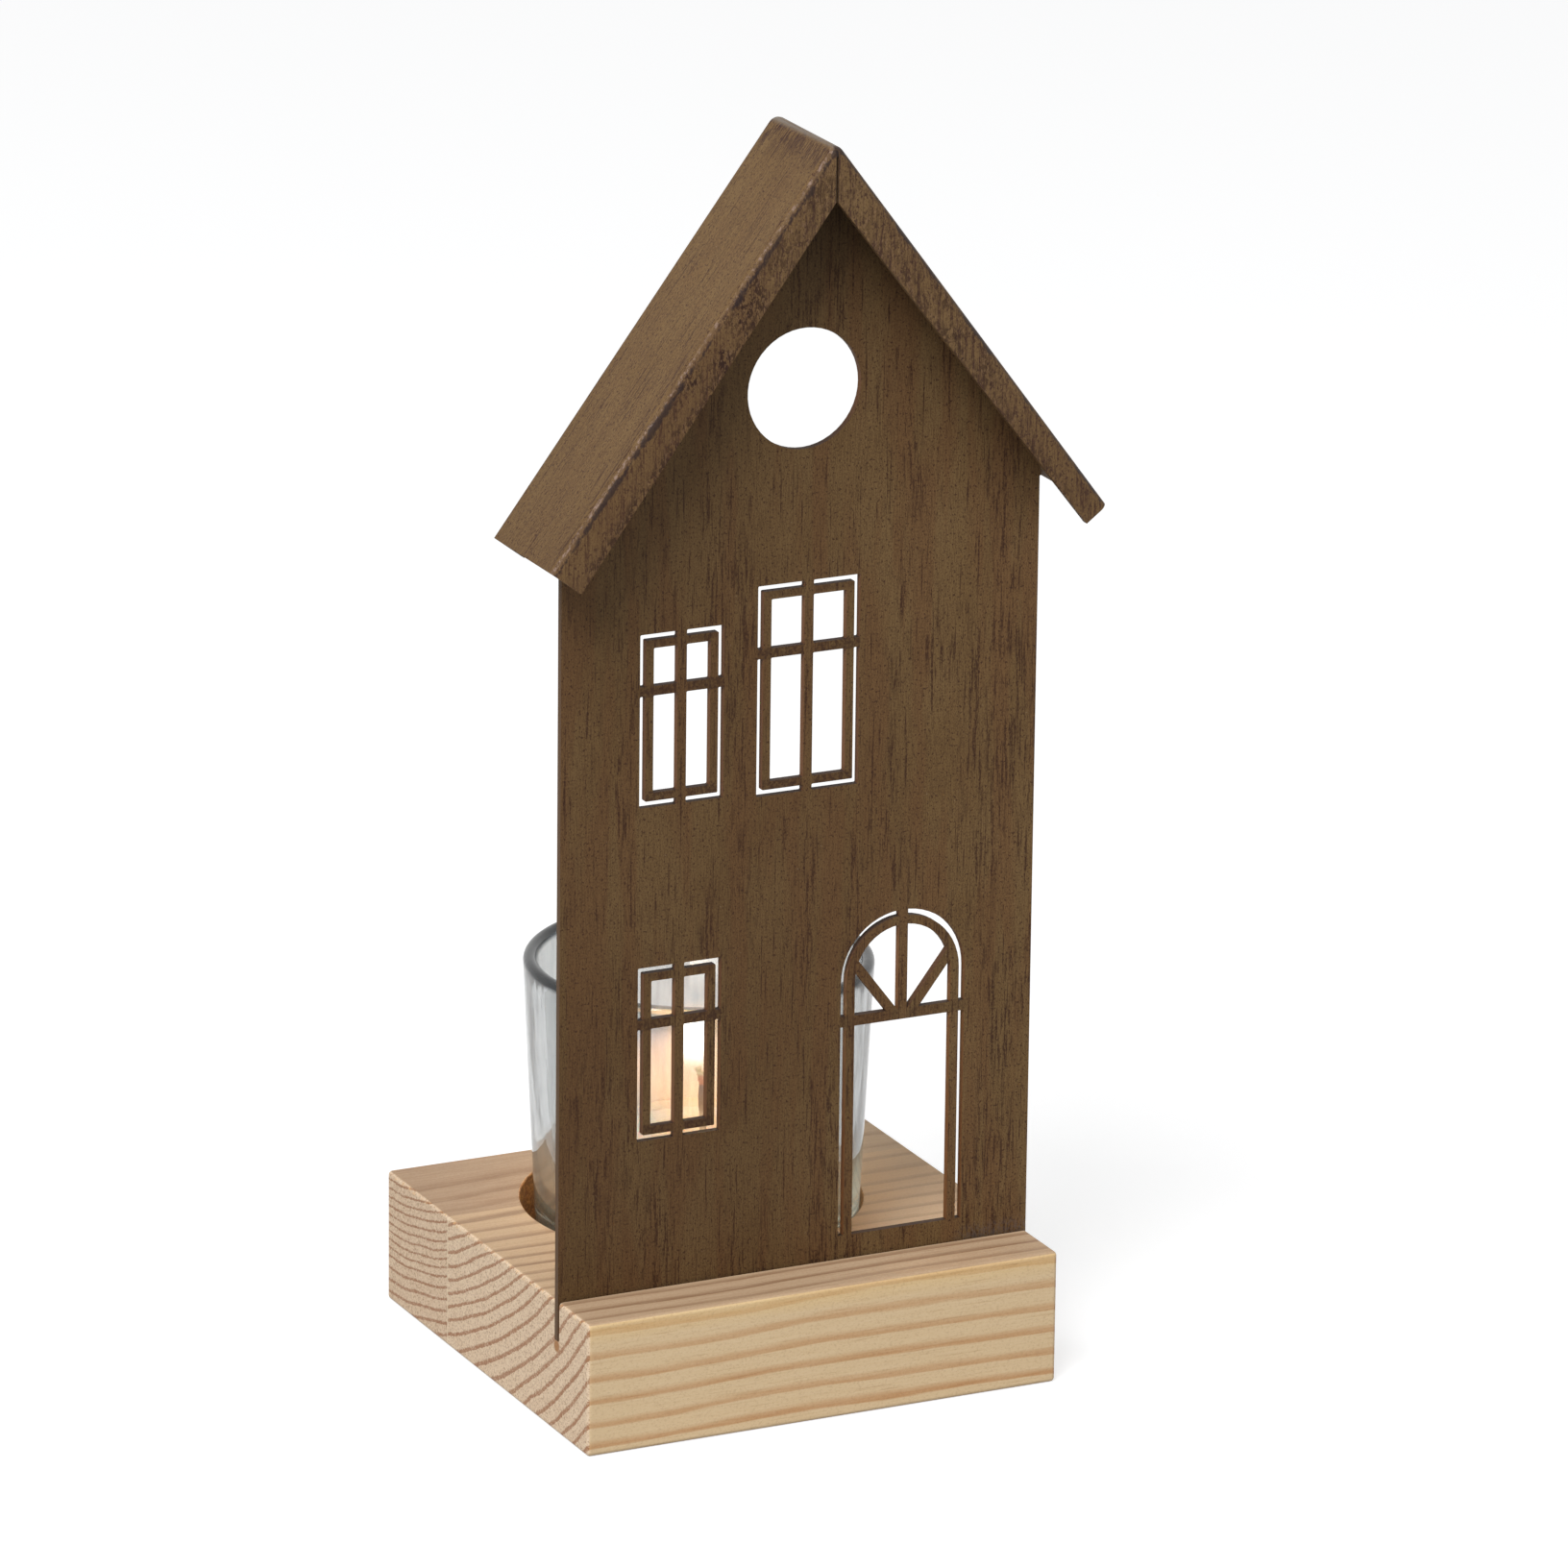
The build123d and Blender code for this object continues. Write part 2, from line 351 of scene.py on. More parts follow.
def new_material(name):
    """A material with an empty tree, its tree, and its Principled shader wired to the output."""
    material = bpy.data.materials.new(name)
    material.use_nodes = True
    tree = material.node_tree
    tree.nodes.clear()
    shader = tree.nodes.new("ShaderNodeBsdfPrincipled")
    output = tree.nodes.new("ShaderNodeOutputMaterial")
    tree.links.new(shader.outputs[0], output.inputs["Surface"])
    return material, tree, shader


def bump(tree, height, depth, strength=1.0):
    """A normal from a height of 0 to 1, which stands for a relief of the given depth."""
    return put(tree, "Bump", {"Height": height, "Distance": depth, "Strength": strength})


# Node groups that the materials use


def brush_strokes_group():
    """Dry brush strokes in dark paint. Place has them along Z. Each output is a mask or a tone, 0 to 1."""
    group, start, end = new_group(
        "brush_strokes",
        {"Place": "Vector", "Amount": "Float"},
        {"Strokes": "Float", "Specks": "Float", "Chips": "Float", "Hatch": "Float", "Zones": "Float",
         "Patches": "Float"})
    place = start["Place"]
    cluster = grain(group, place, (0.16, 0.16, 0.03))
    where = fade(group, calc(group, "ADD", cluster, start["Amount"]), 0.45, 0.62)
    fine = fade(group, grain(group, place, (2.3, 2.3, 0.15), 3.0, 0.6), 0.52, 0.6)
    lone = fade(group, grain(group, place, (1.4, 1.4, 0.05)), 0.62, 0.67)
    broken = grain(group, place, (3.0, 3.0, 1.3), 2.0, 0.6)
    dashes = ranged(group, broken, 0.3, 1.0, 0.38, 0.54)
    feed(group, end["Strokes"], times(group, most(group, times(group, fine, where), lone), dashes))
    feed(group, end["Specks"], fade(group, grain(group, place, (2.2, 2.2, 1.5)), 0.6, 0.65))
    feed(group, end["Chips"], fade(group, grain(group, place, (1.9, 1.9, 1.6)), 0.74, 0.8))
    hatch = grain(group, place, (3.0, 3.0, 0.22), 2.0, 0.6)
    fleck = grain(group, place, (4.0, 4.0, 2.2), 2.0, 0.6)
    feed(group, end["Hatch"], calc(group, "ADD", times(group, hatch, 0.4), times(group, fleck, 0.6)))
    feed(group, end["Zones"], grain(group, place, (0.22, 0.22, 0.022)))
    feed(group, end["Patches"], grain(group, place, (0.05, 0.05, 0.03), 3.0, 0.6))
    return group


def ragged_line_group():
    """A blotchy, ragged line, which marks the fold's worn paint and painted shade. Distance is in
    millimetres from the line's middle.
    """
    group, start, end = new_group(
        "ragged_line",
        {"Place": "Vector", "Distance": "Float", "Half Width": "Float", "Raggedness": "Float"},
        {"Line": "Float"})
    place = start["Place"]
    ragged = calc(group, "SUBTRACT", grain(group, place, (0.9, 0.9, 0.5), 4.0, 0.7), 0.5)
    along = calc(group, "SUBTRACT", grain(group, place, (0.12, 0.12, 0.12)), 0.5)
    shift = times(group, calc(group, "ADD", ragged, along), start["Raggedness"])
    away = calc(group, "SUBTRACT", calc(group, "ABSOLUTE", start["Distance"]), shift)
    past = calc(group, "SUBTRACT", away, start["Half Width"])
    feed(group, end["Line"], fade(group, past, 0.35, -0.15))
    return group


def sway(tree, place, cells, distance_across, detail=1.0, roughness=0.5):
    """Noise that moves the growth rings to and fro across the board, half of the distance each way."""
    swing = vector_calc(tree, "SUBTRACT", grain(tree, place, cells, detail, roughness, out=1),
                        (0.5, 0.5, 0.5))
    return vector_calc(tree, "MULTIPLY", swing, (0.0, distance_across, distance_across))


def growth_rings_group():
    """Growth rings round a pith that runs along X. Latewood is 1 on the dark part of each ring."""
    group, start, end = new_group(
        "growth_rings",
        {"Place": "Vector", "Pith": "Vector", "Change At": "Float", "Inner Ring": "Float",
         "Outer Ring": "Float"},
        {"Latewood": "Float", "Ring": "Float", "Fibre": "Float", "Pores": "Float"})
    place = start["Place"]
    wander = sway(group, place, (0.014, 0.03, 0.03), RING_WANDER)
    wave = sway(group, place, (0.012, 0.1, 0.1), RING_WAVE)
    tooth = sway(group, place, (0.06, 1.1, 1.1), RING_TOOTH, 2.0, 0.6)
    moved = vector_calc(group, "ADD", place, vector_calc(group, "ADD", wander, wave))
    moved = vector_calc(group, "ADD", moved, tooth)
    across = vector_calc(group, "MULTIPLY", vector_calc(group, "SUBTRACT", moved, start["Pith"]),
                         (0.0, 1.0, 1.0))
    radius = put(group, "VectorMath", {0: across}, out=1, operation="LENGTH")
    past = calc(group, "SUBTRACT", radius, start["Change At"])
    rings = calc(group, "MINIMUM", calc(group, "DIVIDE", past, start["Inner Ring"]),
                 calc(group, "DIVIDE", past, start["Outer Ring"]))
    count = calc(group, "ADD", rings, FIRST_RING)
    phase = calc(group, "FRACT", count)
    rise = fade(group, phase, 0.5, 0.86)
    drop = fade(group, phase, 1.0, 0.92)
    feed(group, end["Latewood"], calc(group, "MULTIPLY", rise, drop))
    number = calc(group, "FLOOR", count)
    feed(group, end["Ring"], put(group, "TexWhiteNoise", {"W": number}, noise_dimensions="1D"))
    feed(group, end["Fibre"], grain(group, place, (0.09, 2.8, 2.8), 4.0, 0.65))
    feed(group, end["Pores"], grain(group, place, (1.8, 2.6, 2.6), 3.0, 0.7))
    return group


brush_strokes = brush_strokes_group()
ragged_line = ragged_line_group()
growth_rings = growth_rings_group()


# Materials


def coat(tree, shader, place, amount, tint):
    """Matte brown paint brushed over dark steel. Returns its colour, for the wear that goes over it."""
    strokes = use_group(tree, brush_strokes, {"Place": place, "Amount": amount})
    paint = mix(tree, fade(tree, strokes["Patches"], 0.35, 0.65), tint["paint"], tint["paint_light"])
    zones = times(tree, fade(tree, strokes["Zones"], 0.42, 0.6), tint["zone_depth"])
    paint = mix(tree, zones, paint, tint["paint_red"])
    hatch = times(tree, fade(tree, strokes["Hatch"], 0.57, 0.43), tint["hatch_depth"])
    paint = mix(tree, hatch, paint, tint["stroke"])
    paint = mix(tree, times(tree, strokes["Strokes"], tint["stroke_depth"]), paint, tint["stroke"])
    paint = mix(tree, times(tree, strokes["Specks"], 0.8), paint, tint["stroke"])
    paint = mix(tree, times(tree, strokes["Chips"], 0.6), paint, tint["chip"])
    shader.inputs["Specular IOR Level"].default_value = 0.15
    height = calc(tree, "ADD", calc(tree, "ADD", strokes["Strokes"], strokes["Specks"]), strokes["Hatch"])
    feed(tree, shader.inputs["Normal"], bump(tree, times(tree, height, -1.0), 0.04 * MM, 0.7))
    return paint


def level_bars(tree, x, z):
    """How dark the sills and cross bars of the windows and the door are, between their upright bars."""
    bars = [(DOOR_MIDDLE, DOOR_WIDTH, DOOR_BAR, 0.5)]
    for middle, sill, width, height, light in WINDOWS:
        bars += [(middle, width, sill + SLIT + FRAME_BAR / 2, 1.0), (middle, width, sill + light, 1.0),
                 (middle, width, sill + height - SLIT, 0.5)]
    found = []
    for middle, width, level, depth in bars:
        away = calc(tree, "ABSOLUTE", calc(tree, "SUBTRACT", x, middle))
        found.append(times(tree, band(tree, x, middle, width / 2), band(tree, z, level, CROSS_BAR / 2, 0.5),
                           fade(tree, away, *UPRIGHT_HALF), depth))
    return most(tree, *found)


def plate_paint():
    """Paint of the house front: dark cut edges, blotchy bars, painted shade on the wall and at the apex
    under the roof, a bare patch by the door.
    """
    material, tree, shader = new_material("plate_paint")
    here = place_in_mm(tree)
    x, _, z = split(tree, here)
    paint = coat(tree, shader, here, 0.0, PLATE_TINT)
    # Painted shade: the wall darker towards the left, and more so low on the left
    shade = times(tree, fade(tree, x, *SHADE_ACROSS), 0.2)
    low_shade = times(tree, fade(tree, z, *LOW_SHADE_DOWN), fade(tree, x, *LOW_SHADE_ACROSS), 0.12)
    paint = mix(tree, calc(tree, "ADD", shade, low_shade), paint, srgb(52, 30, 12))
    blotches = grain(tree, here, (1.4, 1.4, 1.0), 3.0, 0.6)
    bars = times(tree, level_bars(tree, x, z), ranged(tree, blotches, 0.15, 0.8, 0.42, 0.58))
    paint = mix(tree, bars, paint, srgb(54, 33, 22))
    # Painted shade at the apex, where the roof shades the wall
    apex_shade = times(tree, fade_below(tree, z, PLATE_HIGH.z, *APEX_SHADE_DEPTH), 0.6)
    paint = mix(tree, apex_shade, paint, srgb(24, 14, 8))
    bare = times(tree, fade_above(tree, z, FRONT_HIGH.z, *BARE_ABOVE_WOOD),
                 fade(tree, x, *BARE_ACROSS), fade(tree, blotches, 0.42, 0.56))
    paint = mix(tree, times(tree, bare, 0.4), paint, srgb(98, 92, 92))
    cut = fade(tree, facing_part(tree, 1), 0.75, 0.35)
    outer = fade_below(tree, calc(tree, "ABSOLUTE", x), PLATE_HIGH.x, *OUTER_EDGE)
    upright_edge = mix(tree, outer, srgb(116, 76, 46), srgb(92, 70, 50))
    edge = mix(tree, facing_part(tree, 2), upright_edge, srgb(48, 33, 28))
    paint = mix(tree, times(tree, cut, 0.8), paint, edge)
    feed(tree, shader.inputs["Base Color"], paint)
    feed(tree, shader.inputs["Roughness"], ranged(tree, bare, 0.62, 0.42))
    feed(tree, shader.inputs["Metallic"], times(tree, bare, 0.4))
    return material


def off_slope(tree, x, z):
    """The height above a slope that runs through the origin, measured square to it."""
    return calc(tree, "ADD", times(tree, z, math.cos(ROOF_SLOPE)),
                times(tree, calc(tree, "ABSOLUTE", x), math.sin(ROOF_SLOPE)))


def roof_place(tree, here, flange):
    """Strokes run down the slopes, and straight down on the front flange."""
    x, y, z = split(tree, here)
    up = calc(tree, "SUBTRACT", times(tree, z, math.sin(ROOF_SLOPE)),
              times(tree, calc(tree, "ABSOLUTE", x), math.cos(ROOF_SLOPE)))
    side = put(tree, "Math", {0: x}, operation="SIGN")
    apart = calc(tree, "ADD", off_slope(tree, x, z), times(tree, side, SLOPES_APART))
    return put(tree, "Mix", {0: flange, 4: join(tree, apart, y, up), 5: here}, out=1, data_type="VECTOR")


def flange_wear(tree, here, paint, flange, right, run, inward):
    """Front flange: stained lower down, mottled in clusters and along its inner edge."""
    lower = fade(tree, run, *FLANGE_STAIN)
    stained = times(tree, flange, ranged(tree, right, 1.0, 0.2), ranged(tree, lower, 0.0, 0.25))
    paint = mix(tree, stained, paint, srgb(80, 50, 26))
    clusters = fade(tree, grain(tree, here, (0.16, 0.16, 0.13)), 0.38, 0.58)
    from_edge = calc(tree, "SUBTRACT", ranged(tree, right, LEFT_FLANGE, RIGHT_FLANGE), inward)
    inner_edge = times(tree, fade(tree, from_edge, *INNER_EDGE_DEPTH),
                       fade(tree, run, *INNER_EDGE_END), 0.8)
    mottled = most(tree, times(tree, clusters, fade(tree, run, *CLUSTERS_END)), inner_edge)
    mottle = fade(tree, grain(tree, here, (1.6, 1.6, 0.7), 4.0, 0.7), 0.48, 0.54)
    mottle = times(tree, mottle, flange, mottled, ranged(tree, right, 1.0, 0.7),
                   ranged(tree, lower, 0.5, 1.0))
    paint = mix(tree, mottle, paint, srgb(44, 25, 16))
    lighter = fade(tree, grain(tree, here, (2.2, 2.2, 0.9), 3.0, 0.6), 0.56, 0.66)
    return mix(tree, times(tree, lighter, flange, mottled, 0.4), paint, srgb(142, 112, 84))


def ridge_marks_and_sheen(tree, place, paint, at_ridge, to_back, run, outside):
    """Ridge: brush marks below it, and along its top glossier paint with a painted pale highlight. Returns
    the paint and the mask of that strip.
    """
    dashes = times(tree, fade(tree, grain(tree, place, (2.6, 2.6, 0.3)), 0.47, 0.51),
                   fade(tree, grain(tree, place, (0.5, 0.5, 0.3)), 0.36, 0.48))
    paint = mix(tree, times(tree, dashes, at_ridge, to_back, outside), paint, srgb(54, 33, 30))
    # The sheen strip: a painted highlight in pale grey along the ridge top, where the paint is also
    # glossier
    past = calc(tree, "SUBTRACT", run, times(tree, to_back, SHEEN_WIDER_BEHIND))
    gloss_and_painted_sheen = times(tree, fade(tree, past, *SHEEN_END), outside)
    return mix(tree, times(tree, gloss_and_painted_sheen, 0.75), paint, srgb(120, 112, 104)), gloss_and_painted_sheen


def fold_wear_and_painted_light(tree, here, paint, right, inward):
    """Front fold: a ragged dark line, worn paint with painted shade where the fold turns down, and light
    scuffs with a painted highlight on the left. Returns the paint and the line.
    """
    _, y, _ = split(tree, here)
    near_fold = fade_above(tree, y, ROOF_LOW.y, *FOLD_LINE)
    line_at = ranged(tree, right, FOLD_LINE_LEFT, FOLD_LINE_RIGHT)
    line = use_group(tree, ragged_line, {
        "Place": here, "Distance": calc(tree, "SUBTRACT", inward, line_at),
        "Half Width": FOLD_LINE_HALF, "Raggedness": 2.2})["Line"]
    # The dark line: worn paint, with painted shade where the fold turns down
    paint = mix(tree, times(tree, line, near_fold, 0.85), paint, srgb(40, 28, 26))
    # Light scuffs, with a painted highlight along the middle of the fold
    scuff_and_highlight = times(tree, fade(tree, grain(tree, here, (1.1, 1.1, 0.6), 4.0, 0.8), 0.48, 0.62),
                  band(tree, inward, SCUFF_HIGHLIGHT_INWARD, 0.12, 0.16), near_fold,
                  ranged(tree, right, 1.0, 0.0))
    return mix(tree, times(tree, scuff_and_highlight, 0.55), paint, srgb(160, 136, 124)), line


def roof_paint():
    """Paint of the roof: dark along the front fold, worn and with painted shade, brush marks below the
    ridge and a painted highlight along it, painted shade towards the eaves, blotchy on the flange.
    """
    material, tree, shader = new_material("roof_paint")
    here = place_in_mm(tree)
    x, y, z = split(tree, here)
    flange = fade(tree, facing_part(tree, 1), 0.6, 0.8)
    right = fade(tree, x, -0.5, 0.5)
    inward = calc(tree, "SUBTRACT", ROOF_PEAK * math.cos(ROOF_SLOPE), off_slope(tree, x, z))
    outside = fade(tree, inward, *OUTSIDE_DEPTH)
    run = times(tree, calc(tree, "ABSOLUTE", x), 1 / math.cos(ROOF_SLOPE))
    at_ridge = times(tree, fade(tree, run, *MARKS_BELOW_RIDGE), fade(tree, run, *MARKS_END))
    to_back = ranged(tree, y, 0.4, 1.0, ROOF_LOW.y, ROOF_HIGH.y)
    at_fold = fade_above(tree, y, ROOF_LOW.y, *FOLD_STROKES)
    amount = calc(tree, "ADD", times(tree, at_ridge, to_back, 0.34),
                  calc(tree, "ADD", times(tree, at_fold, 0.1), times(tree, flange, 0.14)))
    place = roof_place(tree, here, flange)
    paint = coat(tree, shader, place, calc(tree, "SUBTRACT", amount, 0.1), ROOF_TINT)
    # Painted shade on the slopes, growing towards the eaves
    painted_eaves_shade = times(tree, fade(tree, run, *EAVES_SHADE), calc(tree, "SUBTRACT", 1.0, flange), 0.16)
    paint = mix(tree, painted_eaves_shade, paint, srgb(70, 44, 22))
    paint = flange_wear(tree, here, paint, flange, right, run, inward)
    paint, gloss_and_painted_sheen = ridge_marks_and_sheen(tree, place, paint, at_ridge, to_back, run, outside)
    paint, fold = fold_wear_and_painted_light(tree, here, paint, right, inward)
    seam = times(tree, band(tree, x, 0.0, 0.15, 0.3), flange)
    back_edge = times(tree, fade_below(tree, y, ROOF_HIGH.y, *BACK_EDGE), 0.6)
    paint = mix(tree, most(tree, seam, back_edge), paint, srgb(34, 24, 20))
    feed(tree, shader.inputs["Base Color"], paint)
    feed(tree, shader.inputs["Roughness"], ranged(tree, most(tree, gloss_and_painted_sheen, fold), 0.62, 0.45))
    return material


PLATE_TINT = {
    "paint": srgb(109, 84, 52), "paint_light": srgb(117, 92, 59), "paint_red": srgb(108, 77, 48),
    "stroke": srgb(52, 29, 18), "chip": srgb(142, 120, 94),
    "zone_depth": 0.6, "hatch_depth": 0.42, "stroke_depth": 0.9,
}
ROOF_TINT = {
    "paint": srgb(112, 87, 56), "paint_light": srgb(119, 94, 62), "paint_red": srgb(109, 83, 55),
    "stroke": srgb(62, 40, 32), "chip": srgb(150, 128, 106),
    "zone_depth": 0.35, "hatch_depth": 0.42, "stroke_depth": 0.85,
}


def pine_top(tree, x, y, late, tones):
    """Top of the block: one tone in front of the wall, one behind it, and one at the right end there. The
    lighter tones are painted light where the wall shades the top.
    """
    front_tone, behind_tone, right_tone = tones
    behind = fade_above(tree, y, PLATE_LOW.y, *BEHIND_WALL)
    painted_light_at_right = times(tree, fade(tree, x, *LIGHTER_TO_RIGHT), behind)
    top = mix(tree, painted_light_at_right, mix(tree, behind, front_tone, behind_tone), right_tone)
    return mix(tree, times(tree, late, ranged(tree, painted_light_at_right, 1.0, 0.6)), top, srgb(140, 107, 78))


def pine_fibres(tree, rings, colour, end_face):
    """Light and dark fibres and pores, stronger on the sawn end."""
    colour = mix(tree, times(tree, fade(tree, rings["Fibre"], 0.35, 0.8), 0.2), colour, srgb(232, 210, 178))
    dark_fibres = times(tree, fade(tree, rings["Fibre"], 0.42, 0.25), 0.35)
    colour = mix(tree, dark_fibres, colour, srgb(152, 108, 68))
    dark_pores = times(tree, fade(tree, rings["Pores"], 0.52, 0.66), ranged(tree, end_face, 0.2, 0.75))
    colour = mix(tree, dark_pores, colour, srgb(150, 108, 78))
    light_pores = times(tree, fade(tree, rings["Pores"], 0.47, 0.36), ranged(tree, end_face, 0.05, 0.5))
    return mix(tree, light_pores, colour, srgb(246, 230, 204))


def sawn_end_marks(tree, here, colour, end_face):
    """Sawn end: pale chips along its top, the glue line and a brown dent."""
    _, y, z = split(tree, here)
    chips = times(tree, fade(tree, grain(tree, here, (1.2, 0.9, 1.2)), 0.55, 0.65), end_face,
                  fade_below(tree, z, FRONT_HIGH.z, *CHIP_DEPTH), 0.4)
    colour = mix(tree, chips, colour, srgb(236, 190, 128))
    glue = times(tree, band(tree, y, GLUE_LINE, 0.1, 0.3), end_face, 0.6)
    colour = mix(tree, glue, colour, srgb(236, 216, 186))
    dent = fade(tree, distance(tree, join(tree, 0.0, y, z), (0.0, *DENT)), *DENT_RADIUS)
    return mix(tree, times(tree, dent, end_face, 0.85), colour, srgb(158, 102, 46))


def pine(name, rings_of_board, shift, top_tones):
    """Planed pine with one set of growth rings through its front, top and sawn end. Shift moves the
    board along the wood that it shows."""
    material, tree, shader = new_material(name)
    here = place_in_mm(tree)
    rings = use_group(tree, growth_rings, {
        "Place": vector_calc(tree, "ADD", here, (shift, 0.0, 0.0)), "Pith": (shift, PITH_Y, PITH_Z),
        **rings_of_board})
    x, y, z = split(tree, here)
    end_face = fade(tree, facing_part(tree, 0), 0.4, 0.68)
    top_face = fade(tree, facing_part(tree, 2), 0.5, 0.78)
    late = times(tree, rings["Latewood"], ranged(tree, rings["Ring"], 0.6, 1.0))
    front = mix(tree, late, srgb(217, 190, 150), srgb(190, 143, 96))
    yellowish = times(tree, fade_below(tree, z, FRONT_HIGH.z, *YELLOWISH_DEPTH), 0.45)
    front = mix(tree, yellowish, front, srgb(226, 192, 132))
    side = mix(tree, top_face, front, pine_top(tree, x, y, late, top_tones))
    thin = fade(tree, rings["Latewood"], 0.35, 0.9)
    sawn = mix(tree, times(tree, thin, 0.9), srgb(228, 202, 172), srgb(154, 98, 56))
    back_board = fade(tree, y, GLUE_LINE, GLUE_LINE + 0.4)
    sawn = mix(tree, times(tree, back_board, 0.12), sawn, srgb(140, 88, 50))
    colour = pine_fibres(tree, rings, mix(tree, end_face, side, sawn), end_face)
    colour = sawn_end_marks(tree, here, colour, end_face)
    in_well = well_mask(tree, x, y)
    torn = fade(tree, grain(tree, here, (0.8, 0.8, 1.4), 4.0, 0.7), 0.4, 0.62)
    well_brown = mix(tree, torn, srgb(120, 74, 36), srgb(182, 128, 70))
    colour = mix(tree, times(tree, in_well, 0.9), colour, well_brown)
    feed(tree, shader.inputs["Base Color"], colour)
    shader.inputs["Specular IOR Level"].default_value = 0.25
    feed(tree, shader.inputs["Roughness"], ranged(tree, late, 0.7, 0.52))
    rough_end = most(tree, end_face, in_well)
    relief = calc(tree, "ADD", times(tree, rings["Fibre"], 0.6),
                  times(tree, calc(tree, "ADD", rings["Pores"], times(tree, torn, in_well)),
                        calc(tree, "ADD", rough_end, 0.1)))
    feed(tree, shader.inputs["Normal"], bump(tree, relief, 0.15 * MM, 0.5))
    return material


def well_mask(tree, x, y):
    """1 on the bored wall of the well and its floor, which are coloured a darker brown."""
    away = distance(tree, join(tree, x, y, 0.0), (*WELL_MIDDLE, 0.0))
    return fade(tree, away, WELL_RADIUS + 0.35, WELL_RADIUS + 0.1)


def glass_painted_glow(tree, x, z, lit_side):
    """Painted glow, given as emission: warm on the side that the flame lights, a painted highlight under
    the rim, and painted light at the right foot.
    """
    warmth = mix(tree, fade(tree, z, GLASS_HIGH.z - 8.0, WICK_TIP.z + 3.0),
                 srgb(214, 205, 220), srgb(255, 200, 150))
    glow_on_lit_side = times(tree, lit_side, fade_below(tree, z, GLASS_HIGH.z, *GLOW_DEPTH))
    painted_glow = mix(tree, glow_on_lit_side, srgb(0, 0, 0), warmth)
    rim_highlight = times(tree, lit_side, band(tree, z, GLASS_HIGH.z - RIM_HIGHLIGHT_DEPTH, 0.7, 0.5))
    painted_glow = mix(tree, rim_highlight, painted_glow, srgb(255, 236, 190))
    light_at_right_foot = times(tree, fade(tree, x, *RIGHT_FOOT_LIGHT_ACROSS), fade_above(tree, z, GLASS_LOW.z, *RIGHT_FOOT_LIGHT_HEIGHT))
    return mix(tree, light_at_right_foot, painted_glow, srgb(214, 220, 206))


def cup_glass():
    """Thick pressed glass: streaky, with painted shade at the rim and where it is seen edge on, warmer low
    down, with the well painted in at its foot and a painted glow. Lamps shine straight through it."""
    material, tree, shader = new_material("cup_glass")
    here = place_in_mm(tree)
    x, y, z = split(tree, here)
    edge = put(tree, "LayerWeight", {"Blend": 0.25}, out=1)
    streaks = grain(tree, here, (0.5, 0.5, 0.09), 3.0, 0.6)
    clear = mix(tree, fade(tree, streaks, 0.4, 0.7), srgb(203, 206, 206), srgb(188, 191, 192))
    clear = mix(tree, fade_above(tree, z, GLASS_LOW.z, *WARM_HEIGHT), clear, srgb(214, 207, 188))
    # Painted shade: darker grey where the glass is seen edge on
    colour = mix(tree, fade(tree, edge, 0.45, 1.0), clear, srgb(112, 116, 113))
    lit_side = times(tree, fade(tree, y, *LIT_DEPTH), fade(tree, x, *LIT_LEFT),
                     fade(tree, x, *LIT_RIGHT))
    rim = fade_below(tree, z, GLASS_HIGH.z, *DARK_RIM_DEPTH)
    # Painted shade on the rim, less of it on the side that the flame lights
    colour = mix(tree, times(tree, rim, ranged(tree, lit_side, 1.0, 0.2)), colour, srgb(24, 29, 33))
    # Painted in: the brown of the well, seen through the foot
    foot = fade_above(tree, z, GLASS_LOW.z, *FOOT_HEIGHT)
    colour = mix(tree, times(tree, foot, 0.9), colour, srgb(128, 108, 66))
    feed(tree, shader.inputs["Base Color"], colour)
    feed(tree, shader.inputs["Specular IOR Level"], ranged(tree, rim, 0.5, 0.15))
    shader.inputs["Roughness"].default_value = 0.02
    shader.inputs["IOR"].default_value = 1.5
    shader.inputs["Transmission Weight"].default_value = 0.92
    waves = grain(tree, here, (0.16, 0.16, 0.05))
    ripples = calc(tree, "ADD", waves, times(tree, streaks, 0.15))
    feed(tree, shader.inputs["Normal"], bump(tree, ripples, 0.5 * MM, 0.22))
    # The glass glows, as painted light: emission stands in for the flame's light in it and the light on its
    # right foot
    feed(tree, shader.inputs["Emission Color"], glass_painted_glow(tree, x, z, lit_side))
    shader.inputs["Emission Strength"].default_value = 0.14
    lamp_ray = put(tree, "LightPath", out=1)
    lets_through = put(tree, "BsdfTransparent", {"Color": srgb(236, 240, 240)})
    both = put(tree, "MixShader", {0: lamp_ray, 1: shader.outputs[0], 2: lets_through})
    output = next(n for n in tree.nodes if n.type == "OUTPUT_MATERIAL")
    feed(tree, output.inputs["Surface"], both)
    return material


def drawn_foil():
    """Thin bright aluminium with faint drawing lines and small dents."""
    material, tree, shader = new_material("drawn_foil")
    here = place_in_mm(tree)
    lines = grain(tree, here, (0.5, 0.5, 3.5))
    feed(tree, shader.inputs["Base Color"], mix(tree, lines, srgb(214, 214, 216), srgb(238, 238, 238)))
    shader.inputs["Metallic"].default_value = 1.0
    feed(tree, shader.inputs["Roughness"], ranged(tree, lines, 0.22, 0.38))
    dents = grain(tree, here, (0.35, 0.35, 0.2))
    feed(tree, shader.inputs["Normal"], bump(tree, dents, 0.3 * MM, 0.4))
    return material


